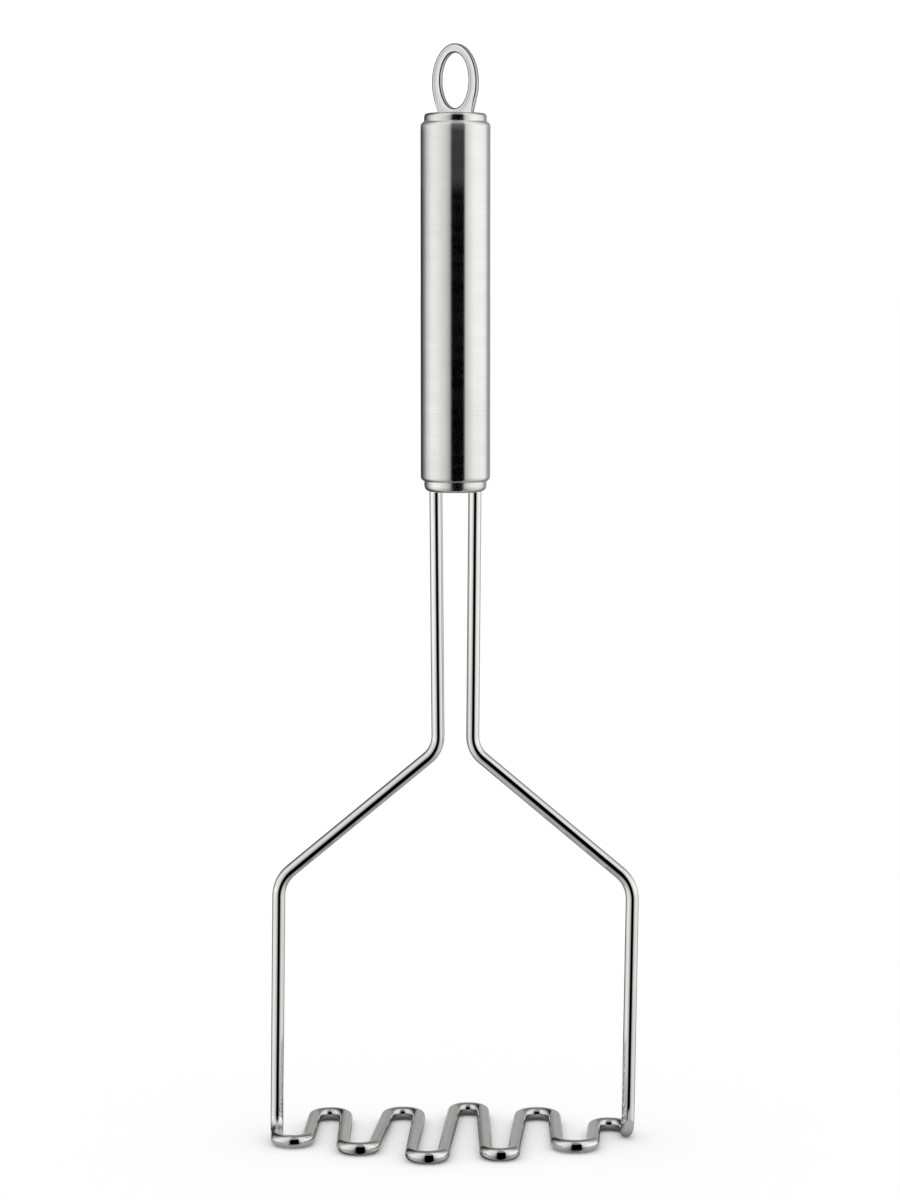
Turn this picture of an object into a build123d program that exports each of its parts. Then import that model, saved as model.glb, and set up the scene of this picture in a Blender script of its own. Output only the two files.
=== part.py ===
"""Wire masher with a tubular handle.

One round wire stands on a zigzag foot, rises in two legs and runs up into a thin-walled
tubular handle. The handle is closed by two pressed caps, and the upper cap carries a ring
to hang the tool by.

Frame: millimetres. The tool stands upright on its foot. The origin lies on the ground,
straight below the handle, +Z runs up the handle, X runs across the two legs, and -Y is the
front. The zigzag lies flat on the ground.
"""
from build123d import *
from math import asin, cos, degrees, radians, sin, tan
import os

# ---------------------------------------------------------------- driving dimensions
# wire
wire_radius = 1.7

# zigzag foot, measured on the wire's centre line
leg_spacing = 92.8
foot_offset = -0.9  # middle of the foot from the handle's axis
run_x = (-37.4, -28.4, -18.8, -9.5, -0.8, 8.6, 17.3, 27.5, 37.4)  # from the middle, at y = 0
run_lean = (-0.5, -2.5, 3.0, 0.0, 1.3, -3.0, 1.5, -2.1, 0.8)  # degrees off the depth direction
end_lean = -6.0  # the same for the two short stretches between a heel and its loop
front_reach = (11.5, 17.8, 25.2, 21.6, 13.0)  # each front loop, from the plane of the legs
back_reach = (17.4, 18.9, 24.3, 20.0, 10.0)  # each back loop, from the plane of the legs
loop_fullness = 0.49  # corner radius of a loop as a share of its width
heel_radius = 4.4  # bend from a leg into the foot

# wire between foot and handle
shoulder_height = 68.8
shoulder_radius = 9.0
neck_height = 103.8
neck_radius = 7.5
neck_spacing_low = 9.0
neck_spacing_high = 10.3

# handle tube
tube_radius = 9.0
tube_wall = 0.8
tube_bottom = 173.9
tube_top = 266.3
tube_roll = 1.3  # outer radius of the rolled-in ends

# pressed caps
cap_radius = 8.05
cap_wall = 0.8
cap_skirt = 6.0  # part of a cap that sits inside the tube
top_cap_rise = 2.15
top_cap_edge = 1.1
bottom_cap_drop = 2.7
bottom_cap_edge = 1.7
wire_inside = 12.0  # length of wire above the bottom cap's floor

# hanging ring
ring_thickness = 2.4
ring_half_width = 6.1
ring_half_height = 9.9
ring_height = 276.1  # centre of the oval above the ground
ring_edge = 0.4
ring_turn = -15.0  # degrees about the handle
hole_half_width = 3.68
hole_half_height = 7.0
hole_height = 276.6
foot_drop = 3.8  # below the oval's centre, where the straight sides of its foot begin
foot_half_width = 4.6  # where the foot meets the cap
tang_width = 5.0
tang_depth = 2.5  # below the underside of the cap

# welds
weld_size = 1.2

# ---------------------------------------------------------------- derived dimensions
leg_x = leg_spacing / 2
cap_top = tube_top + top_cap_rise
cap_top_inside = cap_top - cap_wall
cap_bottom = tube_bottom - bottom_cap_drop
cap_bottom_inside = cap_bottom + cap_wall
wire_top = cap_bottom_inside + wire_inside
cap_bore = cap_radius - cap_wall
ring_plane = Plane.XZ.rotated((0, 0, ring_turn))


# ---------------------------------------------------------------- route of the wire
lane_x = [foot_offset + x for x in (-leg_x, *run_x, leg_x)]
lane_lean = (end_lean, *run_lean, end_lean)


def loop_corners(number):
    """Return the two corners of a loop: even loops come forward, odd loops go back."""
    reach = back_reach[number // 2] if number % 2 else -front_reach[number // 2]
    corners = []
    for lane in (number, number + 1):
        sideways = reach * tan(radians(lane_lean[lane]))
        corners.append(Vector(lane_x[lane] + sideways, reach, wire_radius))
    return corners


loops = [loop_corners(number) for number in range(len(front_reach) + len(back_reach))]


def upper_route(side):
    """Return one arm's points, from its end in the handle down to its heel.

    The left arm has side -1, the right arm has side +1.
    """
    return [
        Vector(side * neck_spacing_high / 2, 0, wire_top),
        Vector(side * neck_spacing_low / 2, 0, neck_height),
        Vector(side * leg_x, 0, shoulder_height),
        Vector(foot_offset + side * leg_x, 0, wire_radius),
    ]


route = upper_route(-1)
radii = [neck_radius, shoulder_radius, heel_radius]
for corners in loops:
    loop_width = (corners[1] - corners[0]).length
    route += corners
    radii += [loop_fullness * loop_width] * 2
route += reversed(upper_route(1))
radii += [heel_radius, shoulder_radius, neck_radius]

# ---------------------------------------------------------------- masher wire
with BuildPart() as masher_wire:
    with BuildLine() as wire_path:
        FilletPolyline(*route, radius=radii)
    with BuildSketch(Plane(wire_path.line @ 0, z_dir=wire_path.line % 0)):
        Circle(wire_radius)
    sweep(path=wire_path.line)

# ---------------------------------------------------------------- handle tube
with BuildPart() as handle_tube:
    with BuildSketch(Plane.XY.offset(tube_bottom)):
        Circle(tube_radius)
    extrude(amount=tube_top - tube_bottom)
    fillet(handle_tube.edges().filter_by(GeomType.CIRCLE), radius=tube_roll)
    with BuildSketch(Plane.XY.offset(tube_bottom + tube_wall)):
        Circle(tube_radius - tube_wall)
    extrude(amount=tube_top - tube_bottom - 2 * tube_wall, mode=Mode.SUBTRACT)
    with BuildSketch(Plane.XY.offset(tube_bottom)):
        Circle(cap_radius)
    extrude(amount=tube_top - tube_bottom, mode=Mode.SUBTRACT)

# ---------------------------------------------------------------- caps
with BuildPart() as top_cap:
    with BuildSketch(Plane.XY.offset(tube_top - cap_skirt)):
        Circle(cap_radius)
    extrude(amount=cap_skirt + top_cap_rise)
    fillet(top_cap.faces().sort_by(Axis.Z)[-1].edges(), radius=top_cap_edge)
    with BuildSketch(Plane.XY.offset(tube_top - cap_skirt)):
        Circle(cap_bore)
    extrude(amount=cap_skirt + top_cap_rise - cap_wall, mode=Mode.SUBTRACT)
    with BuildSketch(Plane.XY.offset(cap_top_inside).rotated((0, 0, ring_turn))):
        Rectangle(tang_width, ring_thickness)
    extrude(amount=cap_wall, mode=Mode.SUBTRACT)

with BuildPart() as bottom_cap:
    with BuildSketch(Plane.XY.offset(cap_bottom)):
        Circle(cap_radius)
    extrude(amount=bottom_cap_drop + cap_skirt)
    fillet(bottom_cap.faces().sort_by(Axis.Z)[0].edges(), radius=bottom_cap_edge)
    with BuildSketch(Plane.XY.offset(cap_bottom_inside)):
        Circle(cap_bore)
    extrude(amount=bottom_cap_drop + cap_skirt - cap_wall, mode=Mode.SUBTRACT)
    add(masher_wire.part, mode=Mode.SUBTRACT)

# ---------------------------------------------------------------- hanging ring
foot_start = degrees(asin(-foot_drop / ring_half_height))
foot_start_x = ring_half_width * cos(radians(foot_start))
foot_start_z = ring_height + ring_half_height * sin(radians(foot_start))

with BuildPart() as hanging_ring:
    with BuildSketch(ring_plane):
        with BuildLine():
            EllipticalCenterArc(
                (0, ring_height),
                ring_half_width,
                ring_half_height,
                start_angle=foot_start,
                arc_size=180 - 2 * foot_start,
            )
            Polyline(
                (-foot_start_x, foot_start_z),
                (-foot_half_width, cap_top),
                (foot_half_width, cap_top),
                (foot_start_x, foot_start_z),
            )
        make_face()
        with Locations((0, hole_height)):
            Ellipse(hole_half_width, hole_half_height, mode=Mode.SUBTRACT)
    extrude(amount=ring_thickness / 2, both=True)
    outline = hanging_ring.faces().filter_by(ring_plane).edges()
    fillet(outline.filter_by(lambda edge: edge.center().Z > cap_top + ring_edge), radius=ring_edge)
    with BuildSketch(ring_plane):
        with Locations((0, cap_top_inside - tang_depth)):
            Rectangle(tang_width, cap_wall + tang_depth, align=(Align.CENTER, Align.MIN))
    extrude(amount=ring_thickness / 2, both=True)

# ---------------------------------------------------------------- weld beads inside the handle
with BuildPart() as ring_weld:
    with BuildSketch(Plane.XY.offset(cap_top_inside).rotated((0, 0, ring_turn))):
        RectangleRounded(tang_width + 2 * weld_size, ring_thickness + 2 * weld_size, weld_size)
    extrude(amount=-weld_size, taper=40)
    add(hanging_ring.part, mode=Mode.SUBTRACT)

with BuildPart() as wire_welds:
    with BuildSketch(Plane.XY.offset(cap_bottom_inside)):
        with Locations((-neck_spacing_high / 2, 0), (neck_spacing_high / 2, 0)):
            Circle(wire_radius + weld_size)
    extrude(amount=weld_size, taper=40)
    with BuildSketch(Plane.XY.offset(cap_bottom_inside)):
        Circle(cap_bore)
    extrude(amount=weld_size, mode=Mode.INTERSECT)
    add(masher_wire.part, mode=Mode.SUBTRACT)

# ---------------------------------------------------------------- output
pieces = {
    "masher_wire": masher_wire,
    "handle_tube": handle_tube,
    "top_cap": top_cap,
    "bottom_cap": bottom_cap,
    "hanging_ring": hanging_ring,
    "ring_weld": ring_weld,
    "wire_welds": wire_welds,
}
os.makedirs("parts", exist_ok=True)
for name, piece in pieces.items():
    piece.part.label = name
    export_step(piece.part, f"parts/{name}.step")
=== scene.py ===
"""Looks of the wire masher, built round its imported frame.

The masher is one long polished wire, bent into a zigzag foot, two legs and a neck, which runs
up into a brushed tubular handle. A pressed cap closes each end of the handle, and the upper
cap carries a flat oval ring. Every piece is modelled in metres, in the frame's own axes: +Z up
the handle, +X across the legs, -Y to the front, and the ground at zero.
"""

import logging
import math
from dataclasses import dataclass
from enum import Enum
from typing import Sequence

import bpy
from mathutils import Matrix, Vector


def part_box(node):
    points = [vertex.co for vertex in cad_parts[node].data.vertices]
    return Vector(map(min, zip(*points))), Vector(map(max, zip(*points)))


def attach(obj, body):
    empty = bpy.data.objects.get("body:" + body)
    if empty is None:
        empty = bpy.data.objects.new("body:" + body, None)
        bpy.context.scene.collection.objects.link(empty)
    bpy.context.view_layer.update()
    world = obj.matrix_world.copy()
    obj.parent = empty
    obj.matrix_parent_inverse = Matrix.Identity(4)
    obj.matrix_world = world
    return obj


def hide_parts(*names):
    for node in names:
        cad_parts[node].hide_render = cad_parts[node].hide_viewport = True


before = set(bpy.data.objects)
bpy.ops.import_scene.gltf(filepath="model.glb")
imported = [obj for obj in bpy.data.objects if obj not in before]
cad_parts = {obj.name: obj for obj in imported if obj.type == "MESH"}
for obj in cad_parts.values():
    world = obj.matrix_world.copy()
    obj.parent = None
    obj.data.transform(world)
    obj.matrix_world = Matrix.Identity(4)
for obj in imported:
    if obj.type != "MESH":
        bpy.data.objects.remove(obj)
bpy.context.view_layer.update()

LOG = logging.getLogger("wire_masher")
MM = 0.001
ONE_POINT = 0.001 * MM  # points closer together than this are merged
NOISE_BULK = (0.3, 0.7)  # the greys that most of a noise keeps to


class Slot(Enum):
    """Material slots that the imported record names."""

    WIRE = "polished_wire"
    TUBE = "brushed_tube"
    CAP = "satin_cap"
    RING = "satin_ring"
    WELD = "weld_metal"


# ------------------------------------------------------------------------------ node sheets
class NodeSheet:
    """One material's nodes, added and joined by short calls."""

    def __init__(self, name: str) -> None:
        """Start an empty sheet.

        Args:
            name: The material's name.
        """
        self.material = bpy.data.materials.new(name)
        self.material.use_nodes = True
        self.tree = self.material.node_tree
        self.tree.nodes.clear()
        self.output = self.tree.nodes.new("ShaderNodeOutputMaterial")

    def add(self, kind: str, **settings: object) -> bpy.types.Node:
        """Add a node.

        Args:
            kind: The node's type name.
            **settings: Properties set on the node.

        Returns:
            The new node.
        """
        node = self.tree.nodes.new(kind)
        for key, value in settings.items():
            setattr(node, key, value)
        return node

    def join(self, source: bpy.types.NodeSocket, target: bpy.types.NodeSocket) -> None:
        """Link an output socket to an input socket."""
        self.tree.links.new(source, target)

    def metal(self, colour: Sequence[float], roughness: float) -> bpy.types.Node:
        """Add a metal shader and send it to the surface.

        Args:
            colour: The metal's own tint.
            roughness: How rough it is before wear.

        Returns:
            The shader node.
        """
        shader = self.add("ShaderNodeBsdfPrincipled")
        shader.inputs["Base Color"].default_value = (*colour, 1.0)
        shader.inputs["Metallic"].default_value = 1.0
        shader.inputs["Roughness"].default_value = roughness
        self.join(shader.outputs["BSDF"], self.output.inputs["Surface"])
        return shader

    def stretched(self, source: bpy.types.NodeSocket, scale: Sequence[float]) -> bpy.types.NodeSocket:
        """Stretch a pattern's coordinates.

        Args:
            source: The coordinates.
            scale: Repeats along each axis.

        Returns:
            The stretched coordinates.
        """
        mapping = self.add("ShaderNodeMapping")
        mapping.inputs["Scale"].default_value = scale
        self.join(source, mapping.inputs["Vector"])
        return mapping.outputs["Vector"]

    def noise(self, where: bpy.types.NodeSocket, scale: float, detail: float) -> bpy.types.NodeSocket:
        """Add a cloudy pattern.

        Args:
            where: Its coordinates.
            scale: How fine it is.
            detail: How many finer layers it holds.

        Returns:
            Its grey value, about 0.5 on average.
        """
        node = self.add("ShaderNodeTexNoise")
        node.inputs["Scale"].default_value = scale
        node.inputs["Detail"].default_value = detail
        self.join(where, node.inputs["Vector"])
        return node.outputs["Fac"]

    def ranged(
        self, value: bpy.types.NodeSocket, source: tuple[float, float], target: tuple[float, float]
    ) -> bpy.types.NodeSocket:
        """Spread a value's range over another, held at both ends.

        Args:
            value: The value.
            source: Its lowest and highest level of interest.
            target: What they become.

        Returns:
            The spread value.
        """
        node = self.add("ShaderNodeMapRange")
        self.join(value, node.inputs["Value"])
        node.inputs["From Min"].default_value, node.inputs["From Max"].default_value = source
        node.inputs["To Min"].default_value, node.inputs["To Max"].default_value = target
        return node.outputs["Result"]

    def reckon(self, operation: str, *values: bpy.types.NodeSocket | float) -> bpy.types.NodeSocket:
        """Work out a sum, product or other result of one or two values.

        Args:
            operation: The math node's operation.
            *values: Each value, a constant or a socket.

        Returns:
            The result.
        """
        node = self.add("ShaderNodeMath", operation=operation)
        for place, value in zip(node.inputs, values):
            if isinstance(value, bpy.types.NodeSocket):
                self.join(value, place)
            else:
                place.default_value = value
        return node.outputs["Value"]

    def product(self, *factors: bpy.types.NodeSocket | float) -> bpy.types.NodeSocket:
        """Multiply two or more values.

        Args:
            *factors: Each value, a constant or a socket.

        Returns:
            Their product.
        """
        result = factors[0]
        for factor in factors[1:]:
            result = self.reckon("MULTIPLY", result, factor)
        return result

    def ramp(
        self, value: bpy.types.NodeSocket, stops: Sequence[tuple[float, float]]
    ) -> bpy.types.NodeSocket:
        """Turn a value into a grey by a row of stops.

        Args:
            value: The value, from 0 to 1.
            stops: The place and the grey of each stop, in order.

        Returns:
            The grey.
        """
        node = self.add("ShaderNodeValToRGB")
        marks = node.color_ramp.elements
        marks.remove(marks[1])
        marks[0].position = stops[0][0]
        for number, (place, grey) in enumerate(stops):
            mark = marks.new(place) if number else marks[0]
            mark.color = (grey, grey, grey, 1.0)
        self.join(value, node.inputs["Fac"])
        return node.outputs["Color"]

    def tint(
        self,
        shader: bpy.types.Node,
        value: bpy.types.NodeSocket,
        low: Sequence[float],
        high: Sequence[float],
        tone: bpy.types.NodeSocket | None = None,
    ) -> None:
        """Let a metal's colour wander between two tints.

        Args:
            shader: The metal.
            value: 0 gives the low tint and 1 the high tint.
            low: The first tint.
            high: The second tint.
            tone: A brightness that multiplies the tint, where the finish has one.
        """
        mix = self.add("ShaderNodeMix", data_type="RGBA")
        self.join(value, mix.inputs["Factor"])
        mix.inputs["A"].default_value = (*low, 1.0)
        mix.inputs["B"].default_value = (*high, 1.0)
        colour = mix.outputs["Result"]
        if tone is not None:
            toned = self.add("ShaderNodeVectorMath", operation="SCALE")
            self.join(colour, toned.inputs[0])
            self.join(tone, toned.inputs["Scale"])
            colour = toned.outputs["Vector"]
        self.join(colour, shader.inputs["Base Color"])

    def relief(self, shader: bpy.types.Node, height: bpy.types.NodeSocket, depth: float) -> None:
        """Emboss a metal's surface.

        Args:
            shader: The metal.
            height: The relief's grey value.
            depth: The relief's depth in metres.
        """
        bump = self.add("ShaderNodeBump")
        bump.inputs["Distance"].default_value = depth
        self.join(height, bump.inputs["Height"])
        self.join(bump.outputs["Normal"], shader.inputs["Normal"])


# ------------------------------------------------------------------------------ finishes
@dataclass(frozen=True)
class DrawnWireSteel:
    """Stainless wire, drawn through a die and barrel polished: faint lines run along it."""

    bright: tuple[float, float, float] = (0.80, 0.795, 0.785)
    dull: tuple[float, float, float] = (0.74, 0.732, 0.72)
    gloss: tuple[float, float] = (0.035, 0.08)
    pinch_dulling: float = 0.2
    line_repeats: tuple[float, float, float] = (14.0, 14.0, 22.0)
    line_depth: float = 0.0005 * MM
    wear_repeats: tuple[float, float, float] = (0.8, 0.8, 120.0)

    def make(self) -> bpy.types.Material:
        """Build the finish.

        Returns:
            The material. It reads the attributes "drawn" and "pinched" of the wire.
        """
        sheet = NodeSheet("drawn_wire_steel")
        shader = sheet.metal(self.bright, self.gloss[0])
        drawn = sheet.add("ShaderNodeAttribute", attribute_name="drawn").outputs["Vector"]
        pinched = sheet.add("ShaderNodeAttribute", attribute_name="pinched").outputs["Fac"]
        die_lines = sheet.noise(sheet.stretched(drawn, self.line_repeats), 1.0, 3.0)
        handling = sheet.noise(sheet.stretched(drawn, self.wear_repeats), 1.0, 4.0)
        spread = sheet.ranged(handling, (0.35, 0.7), self.gloss)
        dulling = sheet.ranged(pinched, (0.15, 0.85), (0.0, self.pinch_dulling))
        sheet.join(sheet.reckon("ADD", spread, dulling), shader.inputs["Roughness"])
        sheet.tint(shader, sheet.ranged(handling, (0.3, 0.75), (0.0, 1.0)), self.bright, self.dull)
        sheet.relief(shader, die_lines, self.line_depth)
        return sheet.material


@dataclass(frozen=True)
class BrushedTubeSteel:
    """Stainless tube, brushed round and round on a belt: hair lines run round the handle."""

    bright: tuple[float, float, float] = (0.80, 0.797, 0.79)
    dull: tuple[float, float, float] = (0.73, 0.725, 0.715)
    roughness: tuple[float, float] = (0.16, 0.22)
    streak: float = 1.0
    streak_turn: float = 0.25
    hair_repeats: tuple[float, float, float] = (60.0, 60.0, 9000.0)
    hair_depth: float = 0.0012 * MM
    band_repeats: tuple[float, float, float] = (25.0, 25.0, 420.0)
    smudge_scale: float = 90.0
    haze_height: tuple[float, float] = (0.2475, 0.2515)
    haze: float = 0.045
    collar_height: tuple[float, float] = (0.2635, 0.2655)
    collar_haze: float = 0.12

    def make(self) -> bpy.types.Material:
        """Build the finish.

        Returns:
            The material. Its hair lines run level, and it is hazier above two heights near the
            tube's upper end.
        """
        sheet = NodeSheet("brushed_tube_steel")
        shader = sheet.metal(self.bright, self.roughness[0])
        shader.inputs["Anisotropic"].default_value = self.streak
        shader.inputs["Anisotropic Rotation"].default_value = self.streak_turn
        tangent = sheet.add("ShaderNodeTangent", direction_type="RADIAL", axis="Z")
        sheet.join(tangent.outputs["Tangent"], shader.inputs["Tangent"])
        place = sheet.add("ShaderNodeTexCoord").outputs["Object"]
        hair = sheet.noise(sheet.stretched(place, self.hair_repeats), 1.0, 4.0)
        bands = sheet.noise(sheet.stretched(place, self.band_repeats), 1.0, 3.0)
        smudges = sheet.noise(place, self.smudge_scale, 5.0)
        height = sheet.add("ShaderNodeSeparateXYZ")
        sheet.join(place, height.inputs["Vector"])
        haze = sheet.ranged(height.outputs["Z"], self.haze_height, (0.0, self.haze))
        collar = sheet.ranged(height.outputs["Z"], self.collar_height, (0.0, self.collar_haze))
        clean = sheet.reckon("SUBTRACT", sheet.reckon("SUBTRACT", 1.0, haze), collar)
        sheet.join(clean, shader.inputs["Metallic"])
        sheet.join(sheet.ranged(bands, NOISE_BULK, self.roughness), shader.inputs["Roughness"])
        mottle = sheet.ranged(sheet.reckon("ADD", hair, smudges), (0.75, 1.3), (0.0, 1.0))
        sheet.tint(shader, mottle, self.bright, self.dull)
        sheet.relief(shader, hair, self.hair_depth)
        return sheet.material


@dataclass(frozen=True)
class SatinSheetSteel:
    """Pressed or stamped stainless sheet, tumbled to a satin: a fine even grain."""

    name: str
    bright: tuple[float, float, float] = (0.79, 0.787, 0.78)
    dull: tuple[float, float, float] = (0.70, 0.695, 0.685)
    roughness: tuple[float, float] = (0.16, 0.26)
    grain_scale: float = 5200.0
    grain_depth: float = 0.002 * MM
    cloud_scale: float = 260.0
    stamped_along: tuple[float, float, float] | None = None
    face_starts: tuple[float, float] = (0.93, 0.983)
    wall_ends: tuple[float, float] = (0.5, 0.72)
    # painted shade: how dark the ring's rounded corners and walls are painted
    painted_corner_shade: float = 0.16
    painted_wall_shade: float = 0.75

    def painted_edge_shade(self, sheet: NodeSheet) -> bpy.types.NodeSocket:
        """Paint shade on the edge: the walls and their rounded corners are darkened, as painted shade
        that draws dark outlines round the faces.

        The faces look along the stamping direction and the walls across it.

        Args:
            sheet: The finish's sheet.

        Returns:
            The metal's tone: 1 on the faces, darker on the walls and darkest on the rounded corners,
            all of it painted shade.
        """
        facing = sheet.add("ShaderNodeVectorMath", operation="DOT_PRODUCT")
        sheet.join(sheet.add("ShaderNodeTexCoord").outputs["Normal"], facing.inputs[0])
        facing.inputs[1].default_value = self.stamped_along
        share = sheet.reckon("ABSOLUTE", facing.outputs["Value"])
        # painted shade: dark outlines on the rounded corners, and darker walls
        face = sheet.ranged(share, self.face_starts, (self.painted_corner_shade, 1.0))
        wall = sheet.ranged(share, self.wall_ends, (self.painted_wall_shade, self.painted_corner_shade))
        return sheet.reckon("MAXIMUM", face, wall)

    def make(self) -> bpy.types.Material:
        """Build the finish.

        Returns:
            The material.
        """
        sheet = NodeSheet(self.name)
        shader = sheet.metal(self.bright, self.roughness[0])
        place = sheet.add("ShaderNodeTexCoord").outputs["Object"]
        grain = sheet.noise(place, self.grain_scale, 3.0)
        clouds = sheet.noise(place, self.cloud_scale, 4.0)
        sheet.join(sheet.ranged(clouds, NOISE_BULK, self.roughness), shader.inputs["Roughness"])
        mottle = sheet.ranged(clouds, (0.25, 0.8), (0.0, 1.0))
        # painted shade on the walls and corners, where a stamping direction is given
        tone = self.painted_edge_shade(sheet) if self.stamped_along else None
        sheet.tint(shader, mottle, self.bright, self.dull, tone)
        sheet.relief(shader, grain, self.grain_depth)
        return sheet.material


@dataclass(frozen=True)
class BareWeldSteel:
    """Weld metal left as it set: scaly, dull and a little straw coloured."""

    clean: tuple[float, float, float] = (0.55, 0.53, 0.50)
    scaled: tuple[float, float, float] = (0.32, 0.27, 0.22)
    roughness: tuple[float, float] = (0.35, 0.6)
    scale_size: float = 1400.0
    scale_depth: float = 0.06 * MM

    def make(self) -> bpy.types.Material:
        """Build the finish.

        Returns:
            The material.
        """
        sheet = NodeSheet("bare_weld_steel")
        shader = sheet.metal(self.clean, self.roughness[0])
        place = sheet.add("ShaderNodeTexCoord").outputs["Object"]
        scale = sheet.noise(place, self.scale_size, 4.0)
        sheet.join(sheet.ranged(scale, NOISE_BULK, self.roughness), shader.inputs["Roughness"])
        sheet.tint(shader, sheet.ranged(scale, (0.35, 0.7), (0.0, 1.0)), self.clean, self.scaled)
        sheet.relief(shader, scale, self.scale_depth)
        return sheet.material


# ------------------------------------------------------------------------------ bench work
def clear_selection() -> None:
    """Leave nothing selected, in object mode."""
    if bpy.context.mode != "OBJECT":
        bpy.ops.object.mode_set(mode="OBJECT")
    bpy.ops.object.select_all(action="DESELECT")


def ring_of_points(name: str, sides: int, radius: float, centre: Vector) -> bpy.types.Object:
    """Add a level ring of points and open it for editing, all selected.

    Args:
        name: The new object's name.
        sides: How many points the ring has.
        radius: The ring's radius.
        centre: The ring's centre.

    Returns:
        The new object.
    """
    clear_selection()
    bpy.ops.mesh.primitive_circle_add(vertices=sides, radius=radius, location=centre)
    piece = bpy.context.active_object
    piece.name = name
    piece.data.name = name
    bpy.ops.object.mode_set(mode="EDIT")
    bpy.ops.mesh.select_all(action="SELECT")
    return piece


def finish_piece(piece: bpy.types.Object, crease: float) -> None:
    """Close edit mode, put the origin at the world's, and shade the piece smooth.

    Args:
        piece: The piece being edited.
        crease: Edges sharper than this many degrees stay crisp.
    """
    bpy.ops.mesh.select_all(action="SELECT")
    bpy.ops.mesh.remove_doubles(threshold=ONE_POINT)
    bpy.ops.mesh.normals_make_consistent(inside=False)
    clear_selection()
    piece.select_set(True)
    bpy.context.view_layer.objects.active = piece
    bpy.ops.object.transform_apply(location=True, rotation=True, scale=True)
    bpy.ops.object.shade_smooth_by_angle(angle=math.radians(crease))


def turned(name: str, outline: Sequence[tuple[float, float]], sides: int) -> bpy.types.Object:
    """Model a round piece by drawing a ring of points along its outline, as on a lathe.

    Args:
        name: The new object's name.
        outline: Radius and height of each station. The last one may have a radius of 0.
        sides: How many sides the piece has round the axis.

    Returns:
        The piece, still open for editing.
    """
    radius, height = outline[0]
    piece = ring_of_points(name, sides, radius, Vector((0, 0, height)))
    for next_radius, next_height in outline[1:]:
        rise = (0, 0, next_height - height)
        bpy.ops.mesh.extrude_region_move(TRANSFORM_OT_translate={"value": rise})
        if next_radius == 0:
            bpy.ops.mesh.merge(type="CENTER")
            break
        ratio = next_radius / radius
        bpy.ops.transform.resize(value=(ratio, ratio, 1), center_override=(0, 0, next_height))
        radius, height = next_radius, next_height
    return piece


def quarter(
    centre: tuple[float, float], radius: float, start: float, end: float, steps: int = 8
) -> list[tuple[float, float]]:
    """Work out the stations of a rounded edge.

    Args:
        centre: Radius and height of the rounding's centre.
        radius: The rounding's own radius.
        start: Its first angle in degrees, 0 outwards and 90 up.
        end: Its last angle in degrees.
        steps: How many stretches it is divided into.

    Returns:
        Radius and height of each station.
    """
    angles = [math.radians(start + (end - start) * step / steps) for step in range(steps + 1)]
    return [(centre[0] + radius * math.cos(a), centre[1] + radius * math.sin(a)) for a in angles]


def hand_over(piece: bpy.types.Object, node: str, material: bpy.types.Material) -> None:
    """Dress a piece and let it stand for its node of the frame.

    Args:
        piece: The finished piece.
        node: The frame's node it stands for.
        material: Its finish.
    """
    piece.data.materials.clear()
    piece.data.materials.append(material)
    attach(piece, "root")
    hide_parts(node)
    lowest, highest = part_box(node)
    corners = [Vector(corner) for corner in piece.bound_box]
    low = Vector(min(c[i] for c in corners) for i in range(3))
    high = Vector(max(c[i] for c in corners) for i in range(3))
    off = max(abs(v) for v in (*(low - lowest), *(high - highest))) / MM
    LOG.info("%s: %d faces, %.2f mm off its node's box", piece.name, len(piece.data.polygons), off)


# ------------------------------------------------------------------------------ masher wire
@dataclass(frozen=True)
class Station:
    """One ring of points along the wire."""

    distance: float
    bend_share: float = 0.0
    centre: Vector | None = None
    rounding: float = 0.0

    def pinch(self, point: Vector, wire_radius: float) -> float:
        """Work out how much the bending pins have dulled a point: only inside a bend.

        Args:
            point: A point of this ring.
            wire_radius: The wire's radius.

        Returns:
            0 for a straight or an outside, up to 1 for the inside of a bend.
        """
        if self.centre is None:
            return 0.0
        inward = (self.rounding - (point - self.centre).length) / wire_radius
        return self.bend_share * max(0.0, inward)


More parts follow.
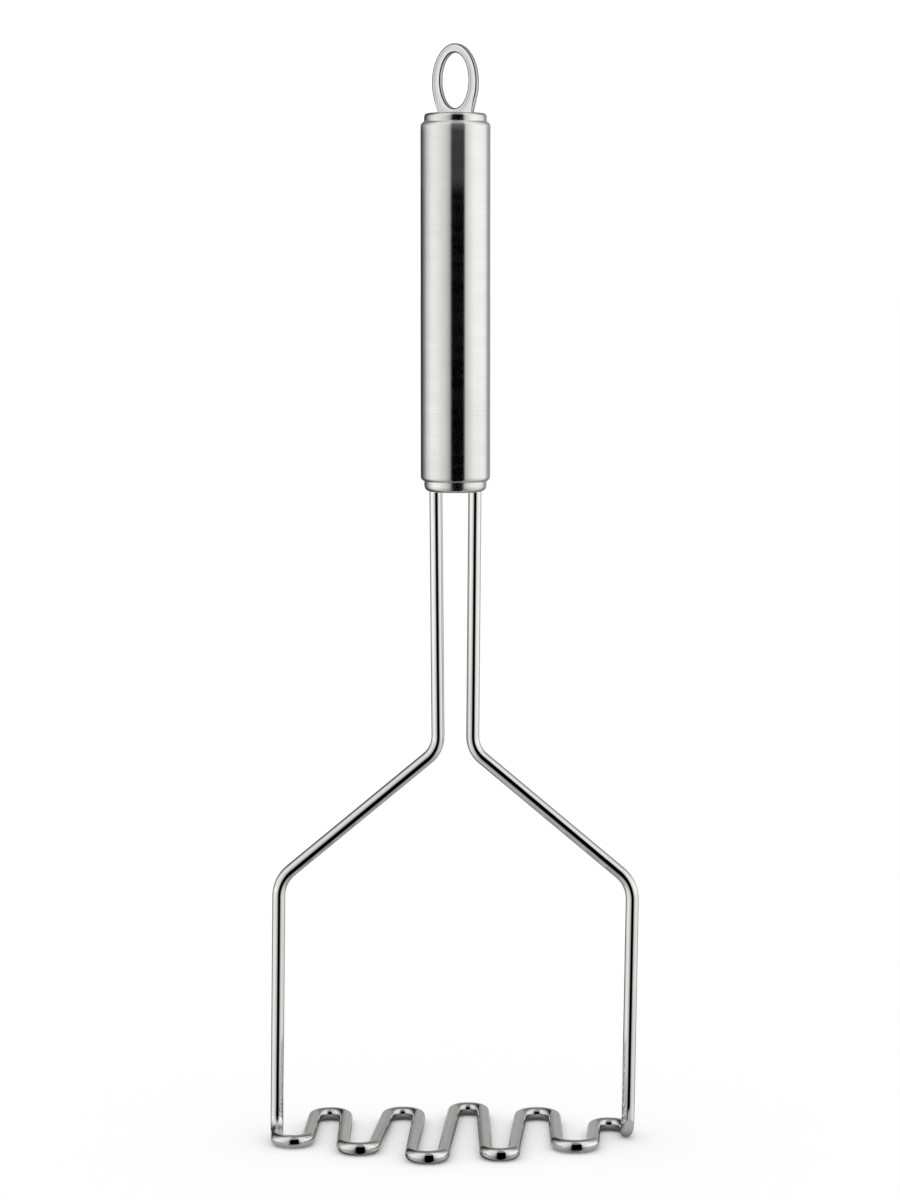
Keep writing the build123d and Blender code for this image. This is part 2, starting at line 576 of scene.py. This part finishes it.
@dataclass
class MasherWire:
    """The one long wire: neck, arms, legs and zigzag foot, bent from its left end to its right."""

    radius: float = 1.7 * MM
    leg_spacing: float = 92.8 * MM
    foot_offset: float = -0.9 * MM
    runs: tuple[float, ...] = (-37.4, -28.4, -18.8, -9.5, -0.8, 8.6, 17.3, 27.5, 37.4)
    leans: tuple[float, ...] = (-6.0, -0.5, -2.5, 3.0, 0.0, 1.3, -3.0, 1.5, -2.1, 0.8, -6.0)
    front_reach: tuple[float, ...] = (11.5, 17.8, 25.2, 21.6, 13.0)
    back_reach: tuple[float, ...] = (17.4, 18.9, 24.3, 20.0, 10.0)
    loop_fullness: float = 0.49
    heel_radius: float = 4.4 * MM
    shoulder_height: float = 68.8 * MM
    shoulder_radius: float = 9.0 * MM
    neck_height: float = 103.8 * MM
    neck_radius: float = 7.5 * MM
    neck_spacing_low: float = 9.0 * MM
    neck_spacing_high: float = 10.3 * MM
    sides: int = 32
    bend_step: float = 7.0

    def arm(self, side: int) -> list[Vector]:
        """Work out one arm's corners.

        Args:
            side: -1 for the left arm, 1 for the right arm.

        Returns:
            Its end in the handle, neck corner, shoulder corner and heel corner.
        """
        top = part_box("masher_wire")[1].z
        leg = side * self.leg_spacing / 2
        return [
            Vector((side * self.neck_spacing_high / 2, 0, top)),
            Vector((side * self.neck_spacing_low / 2, 0, self.neck_height)),
            Vector((leg, 0, self.shoulder_height)),
            Vector((leg + self.foot_offset, 0, self.radius)),
        ]

    def route(self) -> tuple[list[Vector], list[float]]:
        """Work out the corners of the wire's centre line and how far each is rounded.

        Returns:
            Every corner with both ends, and the rounding of every corner between them.
        """
        leg = self.leg_spacing / 2
        lanes = [-leg, *(run * MM for run in self.runs), leg]
        corners = self.arm(-1)
        roundings = [self.neck_radius, self.shoulder_radius, self.heel_radius]
        for loop in range(len(lanes) - 1):
            reach = self.back_reach[loop // 2] * MM if loop % 2 else -self.front_reach[loop // 2] * MM
            pair = []
            for lane in (loop, loop + 1):
                sideways = reach * math.tan(math.radians(self.leans[lane]))
                pair.append(Vector((self.foot_offset + lanes[lane] + sideways, reach, self.radius)))
            corners += pair
            roundings += [self.loop_fullness * (pair[1] - pair[0]).length] * 2
        corners += reversed(self.arm(1))
        roundings += [self.heel_radius, self.shoulder_radius, self.neck_radius]
        return corners, roundings

    def bend_wire(self) -> tuple[bpy.types.Object, list[Station]]:
        """Draw the wire out straight by straight and bend it round each corner.

        Returns:
            The wire, and a station for each of its rings of points.
        """
        corners, roundings = self.route()
        along = (corners[1] - corners[0]).normalized()
        wire = ring_of_points("bent_wire", self.sides, self.radius, corners[0])
        tilt = Vector((0, 0, -1)).rotation_difference(along)
        bpy.ops.object.mode_set(mode="OBJECT")
        wire.rotation_mode = "QUATERNION"
        wire.rotation_quaternion = tilt
        bpy.ops.object.transform_apply(location=True, rotation=True, scale=True)
        bpy.ops.object.mode_set(mode="EDIT")
        here, length, stations = corners[0], 0.0, [Station(0.0)]
        for corner, after, rounding in zip(corners[1:-1], corners[2:], roundings):
            onward = (after - corner).normalized()
            turn = along.angle(onward)
            setback = rounding * math.tan(turn / 2)
            straight = corner - along * setback - here
            bpy.ops.mesh.extrude_region_move(TRANSFORM_OT_translate={"value": straight})
            length += straight.length
            stations.append(Station(length))
            inward = (onward - along * along.dot(onward)).normalized()
            centre = corner - along * setback + inward * rounding
            steps = max(2, math.ceil(math.degrees(turn) / self.bend_step))
            bpy.ops.mesh.spin(
                steps=steps, angle=turn, center=centre, axis=onward.cross(along).normalized()
            )
            for step in range(1, steps + 1):
                share = math.sin(math.pi * step / steps) ** 0.5 if step < steps else 0.0
                distance = length + rounding * turn * step / steps
                stations.append(Station(distance, share, centre, rounding))
            length += rounding * turn
            here, along = corner + onward * setback, onward
        last = corners[-1] - here
        bpy.ops.mesh.extrude_region_move(TRANSFORM_OT_translate={"value": last})
        stations.append(Station(length + last.length))
        LOG.info("wire is %.0f mm long", stations[-1].distance / MM)
        return wire, stations

    def mark_grain(self, wire: bpy.types.Object, stations: list[Station]) -> None:
        """Store the drawing direction and the pinched bends on the wire, for its finish.

        Args:
            wire: The wire, in object mode, with its rings of points in order.
            stations: The station of each ring.
        """
        wire.data.attributes.new("drawn", "FLOAT_VECTOR", "POINT")
        wire.data.attributes.new("pinched", "FLOAT", "POINT")
        drawn, pinched = wire.data.attributes["drawn"], wire.data.attributes["pinched"]
        for number, station in enumerate(stations):
            for side in range(self.sides):
                turn = 2 * math.pi * side / self.sides
                point = number * self.sides + side
                place = wire.data.vertices[point].co
                drawn.data[point].vector = (math.cos(turn), math.sin(turn), station.distance)
                pinched.data[point].value = station.pinch(place, self.radius)

    def build(self) -> None:
        """Model the wire and dress it in drawn steel."""
        wire, stations = self.bend_wire()
        bpy.ops.object.mode_set(mode="OBJECT")
        self.mark_grain(wire, stations)
        bpy.ops.object.mode_set(mode="EDIT")
        bpy.ops.mesh.select_all(action="SELECT")
        bpy.ops.mesh.fill_holes(sides=0)
        finish_piece(wire, crease=40.0)
        hand_over(wire, "masher_wire", DrawnWireSteel().make())


# ------------------------------------------------------------------------------ handle
@dataclass
class HandleTube:
    """The thin tube of the handle, with both its ends rolled in over the caps."""

    wall: float = 0.8 * MM
    roll: float = 1.3 * MM
    roll_sweep: float = 68.0
    mouth_radius: float = 8.15 * MM
    mouth_depth: float = 0.6 * MM
    mouth_slope: float = 0.1 * MM
    sides: int = 128

    def build(self) -> None:
        """Model the tube and dress it in brushed steel."""
        low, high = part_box("handle_tube")
        radius, bottom, top = high.x, low.z, high.z
        shoulder = radius - self.roll
        bore = radius - self.wall
        slope_end = self.mouth_depth + self.mouth_slope
        outline = [
            (self.mouth_radius, bottom),
            *quarter((shoulder, bottom + self.roll), self.roll, -self.roll_sweep, 0.0),
            *quarter((shoulder, top - self.roll), self.roll, 0.0, self.roll_sweep),
            (self.mouth_radius, top),
            (self.mouth_radius, top - self.mouth_depth),
            (bore, top - slope_end),
            (bore, bottom + slope_end),
            (self.mouth_radius, bottom + self.mouth_depth),
            (self.mouth_radius, bottom),
        ]
        tube = turned("brushed_tube", outline, self.sides)
        finish_piece(tube, crease=35.0)
        hand_over(tube, "handle_tube", BrushedTubeSteel().make())


@dataclass
class PressedCap:
    """A shallow pressed cup that closes one end of the tube."""

    node: str
    name: str
    edge: float
    upward: bool
    dome: float = 0.12 * MM
    dome_shares: tuple[float, ...] = (0.02, 0.25, 0.5, 0.75)
    wall: float = 0.8 * MM
    floor_depth: float = 1.2 * MM
    sides: int = 128

    def outline(self) -> list[tuple[float, float]]:
        """Work out the cup's stations, from the middle of its floor round to its inside.

        Returns:
            Radius and height of each station.
        """
        low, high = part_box(self.node)
        radius = high.x
        top, rim = (high.z, low.z) if self.upward else (low.z, high.z)
        way = 1.0 if self.upward else -1.0
        flat = radius - self.edge
        edge = [
            (r, top - way * (self.edge - h))
            for r, h in quarter((flat, 0.0), self.edge, 90.0, 0.0, steps=10)
        ]
        crown = [
            (flat * share, top - way * self.dome * share * share) for share in self.dome_shares
        ]
        settled = [(r, z - way * self.dome * max(0.0, 1 - (r - flat) / self.edge)) for r, z in edge]
        bore = radius - self.wall
        inside = [(radius, rim), (bore, rim), (bore, top - way * self.floor_depth)]
        return crown + settled + inside

    def build(self, material: bpy.types.Material) -> None:
        """Model the cup and dress it.

        Args:
            material: The satin finish both cups share.
        """
        cup = turned(self.name, self.outline(), self.sides)
        bpy.ops.mesh.select_all(action="SELECT")
        bpy.ops.mesh.fill_holes(sides=0)
        finish_piece(cup, crease=45.0)
        hand_over(cup, self.node, material)


# ------------------------------------------------------------------------------ hanging ring
@dataclass
class HangingRing:
    """The oval ring, stamped from thick sheet and a little dished, that stands on the upper cap."""

    thickness: float = 2.4 * MM
    half_width: float = 6.1 * MM
    half_height: float = 9.9 * MM
    height: float = 276.1 * MM
    hole_half_width: float = 3.68 * MM
    hole_half_height: float = 7.0 * MM
    hole_height: float = 276.6 * MM
    foot_drop: float = 3.8 * MM
    foot_half_width: float = 4.6 * MM
    foot_length: float = 5.0 * MM
    foot_depth: float = 3.0 * MM
    dish: float = 0.15 * MM
    dish_steps: int = 4
    edge: float = 0.5 * MM
    edge_steps: int = 4
    edge_fullness: float = 0.4
    edge_angle: float = 60.0
    oval_tolerance: float = 0.01
    sunk: float = 0.2 * MM
    turn: float = -15.0
    sides: int = 144

    def stamp_outline(self) -> bpy.types.Object:
        """Model the dished front face of the ring, between its hole and its outline.

        Returns:
            The face, still open for editing, half the ring's thickness towards the front.
        """
        front = -self.thickness / 2
        ring = ring_of_points("oval_ring", self.sides, 1.0, Vector((0, 0, 0)))
        clear_selection()
        ring.select_set(True)
        ring.rotation_euler = (math.pi / 2, 0, 0)
        bpy.ops.object.transform_apply(location=True, rotation=True, scale=True)
        bpy.ops.object.mode_set(mode="EDIT")
        bpy.ops.mesh.select_all(action="SELECT")
        wide, tall, height, level = self.hole_half_width, self.hole_half_height, self.hole_height, front
        bpy.ops.transform.resize(value=(wide, 1, tall))
        bpy.ops.transform.translate(value=(0, level, height))
        for step in range(1, self.dish_steps + 1):
            share = step / self.dish_steps
            next_wide = self.hole_half_width + share * (self.half_width - self.hole_half_width)
            next_tall = self.hole_half_height + share * (self.half_height - self.hole_half_height)
            next_height = self.hole_height + share * (self.height - self.hole_height)
            hollow = 4 * share * (1 - share)  # 1 halfway between the hole and the outline
            next_level = front + self.dish * hollow
            shift = (0, next_level - level, next_height - height)
            bpy.ops.mesh.extrude_region_move(TRANSFORM_OT_translate={"value": shift})
            grow = (next_wide / wide, 1, next_tall / tall)
            bpy.ops.transform.resize(value=grow, center_override=(0, next_level, next_height))
            wide, tall, height, level = next_wide, next_tall, next_height, next_level
        return ring

    def on_oval(self, point: Vector) -> bool:
        """Tell whether a point of the front face lies on the oval that its outline follows.

        Args:
            point: The point.

        Returns:
            Whether it does.
        """
        flat_x = point.x / self.half_width
        flat_z = (point.z - self.height) / self.half_height
        return abs(math.hypot(flat_x, flat_z) - 1) < self.oval_tolerance

    def draw_foot(self, ring: bpy.types.Object) -> None:
        """Draw the lower part of the outline down into the cap, as a foot with straight sides.

        Args:
            ring: The ring's front face, open for editing.
        """
        cap_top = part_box("top_cap")[1].z
        foot_top = self.height - self.foot_drop
        bpy.ops.mesh.select_all(action="DESELECT")
        bpy.ops.object.mode_set(mode="OBJECT")
        for vertex in ring.data.vertices:
            vertex.select = self.on_oval(vertex.co) and vertex.co.z < foot_top
        chosen = [vertex for vertex in ring.data.vertices if vertex.select]
        reach = max(vertex.co.x for vertex in chosen)
        bpy.ops.object.mode_set(mode="EDIT")
        bpy.ops.mesh.select_mode(type="VERT")
        bpy.ops.mesh.extrude_region_move(TRANSFORM_OT_translate={"value": (0, 0, -self.foot_length)})
        slant = (reach - self.foot_half_width) / (foot_top - cap_top)
        narrow = (self.foot_half_width - slant * self.foot_depth) / reach
        floor = (0, 0, cap_top - self.foot_depth)
        bpy.ops.transform.resize(value=(narrow, 1, 0), center_override=floor)
        bpy.ops.mesh.select_all(action="SELECT")
        cut = (0, 0, cap_top - self.sunk)
        bpy.ops.mesh.bisect(plane_co=cut, plane_no=(0, 0, 1), clear_inner=True)
        bpy.ops.mesh.select_mode(type="EDGE")
        bpy.ops.mesh.select_all(action="DESELECT")
        bpy.ops.object.mode_set(mode="OBJECT")
        for edge in ring.data.edges:
            ends = [ring.data.vertices[index].co for index in edge.vertices]
            edge.select = all(self.on_oval(end) and end.z < foot_top for end in ends)
        bpy.ops.object.mode_set(mode="EDIT")
        bpy.ops.mesh.dissolve_edges(use_verts=True)

    def build(self) -> None:
        """Model the ring and dress it in satin steel."""
        ring = self.stamp_outline()
        self.draw_foot(ring)
        bpy.ops.mesh.select_all(action="SELECT")
        bpy.ops.mesh.extrude_region_move(TRANSFORM_OT_translate={"value": (0, self.thickness, 0)})
        back = (0, self.thickness / 2, 0)  # the new face is mirrored, so that both are hollow
        bpy.ops.transform.resize(value=(1, -1, 1), center_override=back)
        bpy.ops.mesh.select_all(action="SELECT")
        bpy.ops.mesh.normals_make_consistent(inside=False)
        bpy.ops.mesh.select_all(action="DESELECT")
        bpy.ops.mesh.select_mode(type="EDGE")
        bpy.ops.mesh.edges_select_sharp(sharpness=math.radians(self.edge_angle))
        bpy.ops.object.mode_set(mode="OBJECT")
        cap_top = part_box("top_cap")[1].z
        for edge in ring.data.edges:
            ends = [ring.data.vertices[index].co for index in edge.vertices]
            if all(end.z < cap_top for end in ends):
                edge.select = False
        bpy.ops.object.mode_set(mode="EDIT")
        bpy.ops.mesh.bevel(
            offset=self.edge,
            segments=self.edge_steps,
            profile=self.edge_fullness,
            clamp_overlap=False,
        )
        finish_piece(ring, crease=50.0)
        turn = math.radians(self.turn)
        ring.rotation_euler = (0, 0, turn)
        bpy.ops.object.transform_apply(location=True, rotation=True, scale=True)
        satin = SatinSheetSteel(
            "satin_ring_steel",
            bright=(0.97, 0.967, 0.96),
            dull=(0.91, 0.905, 0.895),
            roughness=(0.2, 0.26),
            grain_depth=0.0008 * MM,
            # this direction also brings the painted shade on the ring's walls and corners
            stamped_along=(math.sin(turn), -math.cos(turn), 0.0),
        )
        hand_over(ring, "hanging_ring", satin.make())


# ------------------------------------------------------------------------------ hidden welds
@dataclass(frozen=True)
class HiddenWelds:
    """The weld beads inside the handle, which stay as the frame has them."""

    nodes: tuple[str, ...] = ("ring_weld", "wire_welds")

    def build(self) -> None:
        """Dress the beads in bare weld metal."""
        material = BareWeldSteel().make()
        for node in self.nodes:
            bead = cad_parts[node]
            bead.data.materials.clear()
            bead.data.materials.append(material)
            LOG.info("%s: dressed as it is", node)


# ------------------------------------------------------------------------------ studio
@dataclass(frozen=True)
class LightStop:
    """One brightness of the tent's wall, at a compass angle seen from the tool."""

    angle: float
    level: float


@dataclass
class Studio:
    """A pale floor under an even sky, a light tent that only the polished metal mirrors, and a painted
    reflection of the shaded ground under the tool.
    """

    sky: float = 1.12
    floor_grey: float = 0.9
    floor_size: float = 40.0
    tent_radius: float = 1.6
    heading: float = 2.5
    brightest: float = 1.25
    front_zone: tuple[float, float] = (-0.2, 0.2)
    high_zone: tuple[float, float] = (0.17, 0.64)
    overhead_zone: tuple[float, float] = (0.71, 0.8)
    overhead_evening: float = 0.7
    overhead_gap: float = 0.34
    overhead_widening: float = 0.2
    back_dimming: float = 0.45
    underside_zone: tuple[float, float] = (-1.0, -0.3)
    underside: float = 0.42
    low_zone: tuple[float, float] = (-0.22, 0.1)
    right_zone: tuple[float, float] = (0.0, 0.4)
    low_right: float = 0.27
    band_foot: tuple[float, float] = (-0.07, -0.02)
    band_top: tuple[float, float] = (0.05, 0.065)
    left_zone: tuple[float, float] = (-0.4, 0.0)
    left_band: float = 0.18
    # the ground's painted reflection in the metal, with painted contact shadow near the wire
    ground_size: float = 0.12
    ground_lift: float = 0.02 * MM
    ground_grey: float = 0.5
    ground_front: tuple[float, float] = (-0.0147, -0.027)
    ground_blur: float = 1.2 * MM
    leg_zone: tuple[float, float] = (0.0435, 0.0445)
    contact_reach: float = 0.011
    contact_stops: tuple[tuple[float, float], ...] = (
        (0.25, 0.85),
        (0.55, 0.66),
        (0.88, 0.15),
        (0.97, 0.0),
    )
    contact_zone: tuple[float, float] = (-0.004, 0.006)
    contact_front: float = 0.45
    apron_zone: tuple[float, float] = (-0.055, -0.03)
    apron_shade: float = 0.35
    wall: tuple[LightStop, ...] = (
        LightStop(-180, 0.50),
        LightStop(-168, 0.35),
        LightStop(-158, 0.03),
        LightStop(-146, 0.03),
        LightStop(-125, 0.30),
        LightStop(-106, 0.80),
        LightStop(-85, 1.05),
        LightStop(-60, 0.98),
        LightStop(-33, 0.71),
        LightStop(-20, 0.45),
        LightStop(-12, 0.0),
        LightStop(27, 0.0),
        LightStop(34, 0.70),
        LightStop(47, 0.95),
        LightStop(62, 1.18),
        LightStop(100, 1.25),
        LightStop(116, 1.10),
        LightStop(134, 0.42),
        LightStop(155, 0.36),
        LightStop(180, 0.50),
    )

    def light_sky(self) -> None:
        """Fill the world with an even white."""
        world = bpy.data.worlds.new("even_sky")
        world.use_nodes = True
        background = world.node_tree.nodes["Background"]
        background.inputs["Color"].default_value = (1.0, 1.0, 1.0, 1.0)
        background.inputs["Strength"].default_value = self.sky
        bpy.context.scene.world = world

    def lay_floor(self) -> None:
        """Lay the pale floor."""
        clear_selection()
        bpy.ops.mesh.primitive_plane_add(size=self.floor_size, location=(0, 0, 0))
        floor = bpy.context.active_object
        floor.name = "pale_floor"
        sheet = NodeSheet("pale_floor")
        paint = sheet.add("ShaderNodeBsdfDiffuse")
        paint.inputs["Color"].default_value = (self.floor_grey,) * 3 + (1.0,)
        sheet.join(paint.outputs["BSDF"], sheet.output.inputs["Surface"])
        floor.data.materials.append(sheet.material)
        floor.visible_glossy = False

    def hang(self, cloth: bpy.types.Object, name: str, material: bpy.types.Material) -> None:
        """Make a cloth part of the tent, mirrored by metal and otherwise unseen.

        Args:
            cloth: The cloth.
            name: Its name.
            material: Its glow.
        """
        material.cycles.emission_sampling = "NONE"
        cloth.name = name
        cloth.data.materials.append(material)
        for seen_by in ("camera", "diffuse", "transmission", "volume_scatter", "shadow"):
            setattr(cloth, f"visible_{seen_by}", False)

    def round_the_wall(
        self, sheet: NodeSheet, side: bpy.types.NodeSocket, ahead: bpy.types.NodeSocket
    ) -> bpy.types.NodeSocket:
        """Look up the wall's brightness by compass angle.

        Args:
            sheet: The tent's sheet.
            side: How far to the right the direction points.
            ahead: How far to the front it points.

        Returns:
            The brightness.
        """
        compass = sheet.reckon("ARCTAN2", side, ahead)
        stops = [((stop.angle + 180) / 360, stop.level / self.brightest) for stop in self.wall]
        turn = sheet.ranged(compass, (-math.pi, math.pi), (0.0, 1.0))
        return sheet.product(sheet.ramp(turn, stops), self.brightest)

    def tent_glow(self) -> bpy.types.Material:
        """Work out the tent's brightness by compass angle and height.

        Returns:
            The glow. Both sides are bright, a dark gap opens in front from the top to the bottom,
            and the back is dimmer high up. The right side dims low down, a level band on the
            left is brighter, and everything fades towards the bottom.
        """
        sheet = NodeSheet("tent_glow")
        outward = sheet.add("ShaderNodeVectorMath", operation="NORMALIZE")
        sheet.join(sheet.add("ShaderNodeTexCoord").outputs["Object"], outward.inputs[0])
        split = sheet.add("ShaderNodeSeparateXYZ")
        sheet.join(outward.outputs["Vector"], split.inputs["Vector"])
        side, rise = split.outputs["X"], split.outputs["Z"]
        ahead = sheet.product(split.outputs["Y"], -1.0)
        in_front = sheet.ranged(ahead, self.front_zone, (0.0, 1.0))
        behind = sheet.reckon("SUBTRACT", 1.0, in_front)
        high = sheet.ranged(rise, self.high_zone, (0.0, 1.0))
        widening = sheet.product(sheet.reckon("ABSOLUTE", rise), self.overhead_widening, in_front)
        level = self.round_the_wall(sheet, side, sheet.reckon("ADD", ahead, widening))
        evening = sheet.product(high, in_front, self.overhead_evening)
        level = sheet.reckon("POWER", level, sheet.reckon("SUBTRACT", 1.0, evening))
        overhead = sheet.ranged(rise, self.overhead_zone, (0.0, self.overhead_gap))
        level = sheet.reckon("MAXIMUM", level, overhead)
        back = sheet.product(high, behind, self.back_dimming)
        low = sheet.ranged(rise, self.low_zone, (self.low_right, 0.0))
        right = sheet.product(low, sheet.ranged(side, self.right_zone, (0.0, 1.0)))
        left = sheet.product(
            sheet.ranged(rise, self.band_foot, (0.0, self.left_band)),
            sheet.ranged(rise, self.band_top, (1.0, 0.0)),
            sheet.ranged(side, self.left_zone, (1.0, 0.0)),
        )
        strength = sheet.product(
            level,
            sheet.reckon("SUBTRACT", 1.0, back),
            sheet.reckon("SUBTRACT", 1.0, right),
            sheet.reckon("ADD", 1.0, left),
            sheet.ranged(rise, self.underside_zone, (self.underside, 1.0)),
        )
        light = sheet.add("ShaderNodeEmission")
        sheet.join(strength, light.inputs["Strength"])
        sheet.join(light.outputs["Emission"], sheet.output.inputs["Surface"])
        return sheet.material

    def painted_ground_reflection(self) -> bpy.types.Material:
        """Work out the painted reflection of the ground under the tool, as the metal sees it.

        Returns:
            The glow, a painted reflection of the ground with painted shade. It is grey between the
            legs, darker the more closely the wire covers it as painted contact shadow, and clear from
            just in front of the legs but for a faint painted shade further out.
        """
        sheet = NodeSheet("painted_ground_reflection")
        # painted contact shadow: darker where the wire hems the ground in
        openness = sheet.add("ShaderNodeAmbientOcclusion", samples=8)
        openness.inputs["Distance"].default_value = self.contact_reach
        covered = sheet.ramp(openness.outputs["AO"], self.contact_stops)
        split = sheet.add("ShaderNodeSeparateXYZ")
        sheet.join(sheet.add("ShaderNodeTexCoord").outputs["Object"], split.inputs["Vector"])
        depth = split.outputs["Y"]
        shade = sheet.product(
            covered, sheet.ranged(depth, self.contact_zone, (self.contact_front, 1.0))
        )
        # painted shade: a faint apron further in front
        apron = sheet.ranged(depth, self.apron_zone, (0.0, self.apron_shade))
        outward = sheet.reckon("ABSOLUTE", split.outputs["X"])
        front = sheet.ranged(outward, self.leg_zone, self.ground_front)
        behind_front = sheet.reckon("SUBTRACT", depth, front)
        near = sheet.ranged(behind_front, (-self.ground_blur, self.ground_blur), (0.0, 1.0))
        # painted reflection of the grey ground, darkened by the painted shade
        light = sheet.add("ShaderNodeEmission")
        lit = sheet.reckon("SUBTRACT", 1.0, shade)
        sheet.join(sheet.product(self.ground_grey, lit, near), light.inputs["Strength"])
        clear = sheet.add("ShaderNodeBsdfTransparent")
        mix = sheet.add("ShaderNodeMixShader")
        cover = sheet.reckon("MAXIMUM", sheet.reckon("MAXIMUM", near, shade), apron)
        sheet.join(cover, mix.inputs["Fac"])
        sheet.join(clear.outputs["BSDF"], mix.inputs[1])
        sheet.join(light.outputs["Emission"], mix.inputs[2])
        sheet.join(mix.outputs["Shader"], sheet.output.inputs["Surface"])
        return sheet.material

    def pitch_tent(self) -> None:
        """Hang the tent all round and lay the painted reflection of the shaded ground under the tool.
        """
        clear_selection()
        bpy.ops.mesh.primitive_uv_sphere_add(
            segments=64,
            ring_count=32,
            radius=self.tent_radius,
            rotation=(0, 0, math.radians(self.heading)),
        )
        self.hang(bpy.context.active_object, "light_tent", self.tent_glow())
        clear_selection()
        bpy.ops.mesh.primitive_plane_add(size=self.ground_size, location=(0, 0, self.ground_lift))
        self.hang(bpy.context.active_object, "painted_ground_reflection", self.painted_ground_reflection())

    def build(self) -> None:
        """Set up the floor, the sky and the tent."""
        self.light_sky()
        self.lay_floor()
        self.pitch_tent()
        LOG.info("studio is set")


@dataclass
class Camera:
    """The camera, level with the handle and looking a little down."""

    focal_length: float = 99.0
    sensor_width: float = 36.0
    sight: tuple[float, float] = (0.01, 100.0)
    distance: float = 0.8531
    height: float = 0.2312
    sideways: float = -0.0014
    heading: float = 2.5
    dip: float = 5.9

    def build(self) -> None:
        """Place the camera and make it the scene's own."""
        turn = math.radians(self.heading)
        data = bpy.data.cameras.new("camera")
        data.lens = self.focal_length
        data.sensor_width = self.sensor_width
        data.clip_start, data.clip_end = self.sight
        camera = bpy.data.objects.new("camera", data)
        back = Vector((math.sin(turn), -math.cos(turn), 0)) * self.distance
        right = Vector((math.cos(turn), math.sin(turn), 0)) * self.sideways
        camera.location = back + right + Vector((0, 0, self.height))
        camera.rotation_euler = (math.radians(90 - self.dip), 0, turn)
        bpy.context.scene.collection.objects.link(camera)
        bpy.context.scene.camera = camera


def main() -> None:
    """Build the masher's pieces in order, then the studio and the camera."""
    logging.basicConfig(level=logging.INFO, format="%(name)s: %(message)s")
    MasherWire().build()
    HandleTube().build()
    caps = SatinSheetSteel("satin_cap_steel", roughness=(0.14, 0.22), grain_depth=0.001 * MM).make()
    PressedCap("top_cap", "upper_cap", edge=1.1 * MM, upward=True).build(caps)
    PressedCap("bottom_cap", "lower_cap", edge=1.7 * MM, upward=False).build(caps)
    HangingRing().build()
    HiddenWelds().build()
    Studio().build()
    Camera().build()
    view = bpy.context.scene.view_settings
    view.view_transform = "Standard"
    view.look = "None"


if __name__ == "__main__":
    main()
